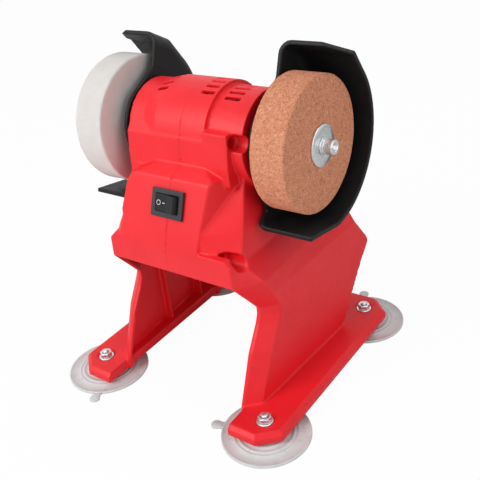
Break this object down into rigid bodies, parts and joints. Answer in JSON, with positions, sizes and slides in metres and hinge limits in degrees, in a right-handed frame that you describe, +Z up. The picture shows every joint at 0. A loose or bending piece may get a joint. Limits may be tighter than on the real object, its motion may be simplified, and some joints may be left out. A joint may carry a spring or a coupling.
{
  "type": "cordless bench grinder",
  "caption": "Small cordless bench grinder: moulded stand with a motor barrel, a grinding wheel and a felt wheel in guards, a rocker switch, a battery dock and suction feet.",
  "frame": {"origin": "on the table, midway between the suction feet", "axes": "+X along the spindle to the grinding wheel, -Y to the switch side, +Z up"},
  "size_m": [0.1804, 0.186, 0.2063],
  "materials": {
    "red_plastic": "fine moulded texture",
    "guard_plastic": "moulded black plastic",
    "dock_plastic": "moulded black plastic",
    "cup_vinyl": "clear soft vinyl",
    "zinc_steel": "bright zinc",
    "machined_steel": "turned",
    "can_steel": "drawn and zinc plated",
    "magnet_ferrite": "dull grey ferrite",
    "bell_plastic": "moulded",
    "core_steel": "stacked sheet steel",
    "winding_copper": "enamelled wire",
    "carbon": "pressed carbon",
    "contact_brass": "bright",
    "spring_steel": "wire",
    "switch_plastic": "moulded black plastic",
    "stone_wheel": "bonded abrasive grain",
    "felt": "pressed white felt",
    "lead_red": "insulated wire",
    "lead_black": "insulated wire"
  },
  "bodies": {
    "base": {"housing_left": "red_plastic", "housing_right": "red_plastic", "housing_screws": "zinc_steel", "guard_left": "guard_plastic", "guard_right": "guard_plastic", "guard_screws": "zinc_steel", "battery_dock": "dock_plastic", "dock_screws": "zinc_steel", "terminal_block": "dock_plastic", "terminal_blades": "contact_brass", "suction_cup_front_left": "cup_vinyl", "suction_cup_front_right": "cup_vinyl", "suction_cup_rear_left": "cup_vinyl", "suction_cup_rear_right": "cup_vinyl", "foot_studs": "zinc_steel", "foot_washers": "zinc_steel", "foot_nuts": "zinc_steel", "motor_can": "can_steel", "field_magnets": "magnet_ferrite", "end_bell_left": "bell_plastic", "end_bell_right": "bell_plastic", "bearing_left_outer_ring": "machined_steel", "bearing_right_outer_ring": "machined_steel", "carbon_brushes": "carbon", "brush_holders": "contact_brass", "brush_springs": "spring_steel", "motor_terminals": "contact_brass", "switch_body": "switch_plastic", "switch_terminals": "contact_brass", "lead_dock_switch": "lead_red", "lead_dock_motor": "lead_black", "lead_switch_motor": "lead_red"},
    "rotor": {"spindle": "machined_steel", "armature_core": "core_steel", "armature_windings": "winding_copper", "commutator": "winding_copper", "cooling_fan": "bell_plastic", "bearing_left_inner_ring": "machined_steel", "bearing_right_inner_ring": "machined_steel", "hub_left": "machined_steel", "hub_right": "machined_steel", "hub_set_screws": "zinc_steel", "grinding_wheel": "stone_wheel", "felt_wheel": "felt", "outer_washers": "zinc_steel", "flat_washers": "zinc_steel", "spring_washers": "zinc_steel", "cap_screws": "zinc_steel"},
    "rocker": {"switch_rocker": "switch_plastic"},
    "cage_left": {"bearing_left_balls": "machined_steel", "bearing_left_cage": "machined_steel"},
    "cage_right": {"bearing_right_balls": "machined_steel", "bearing_right_cage": "machined_steel"}
  },
  "joints": [
    {"name": "spindle_spin", "type": "hinge", "parent": "base", "child": "rotor", "pos_m": [0, 0.0034, 0.1549], "axis": [1, 0, 0], "continuous": true},
    {"name": "rocker_tilt", "type": "hinge", "parent": "base", "child": "rocker", "pos_m": [0, -0.04369, 0.12823], "axis": [0, 0.3605, 0.9328], "range_deg": [0, 22]},
    {"name": "cage_left_turn", "type": "hinge", "parent": "base", "child": "cage_left", "pos_m": [0, 0.0034, 0.1549], "axis": [1, 0, 0], "continuous": true},
    {"name": "cage_right_turn", "type": "hinge", "parent": "base", "child": "cage_right", "pos_m": [0, 0.0034, 0.1549], "axis": [1, 0, 0], "continuous": true}
  ],
  "couplings": [
    {"joint": "cage_left_turn", "follows": "spindle_spin", "ratio": 0.3667},
    {"joint": "cage_right_turn", "follows": "spindle_spin", "ratio": 0.3667}
  ]
}
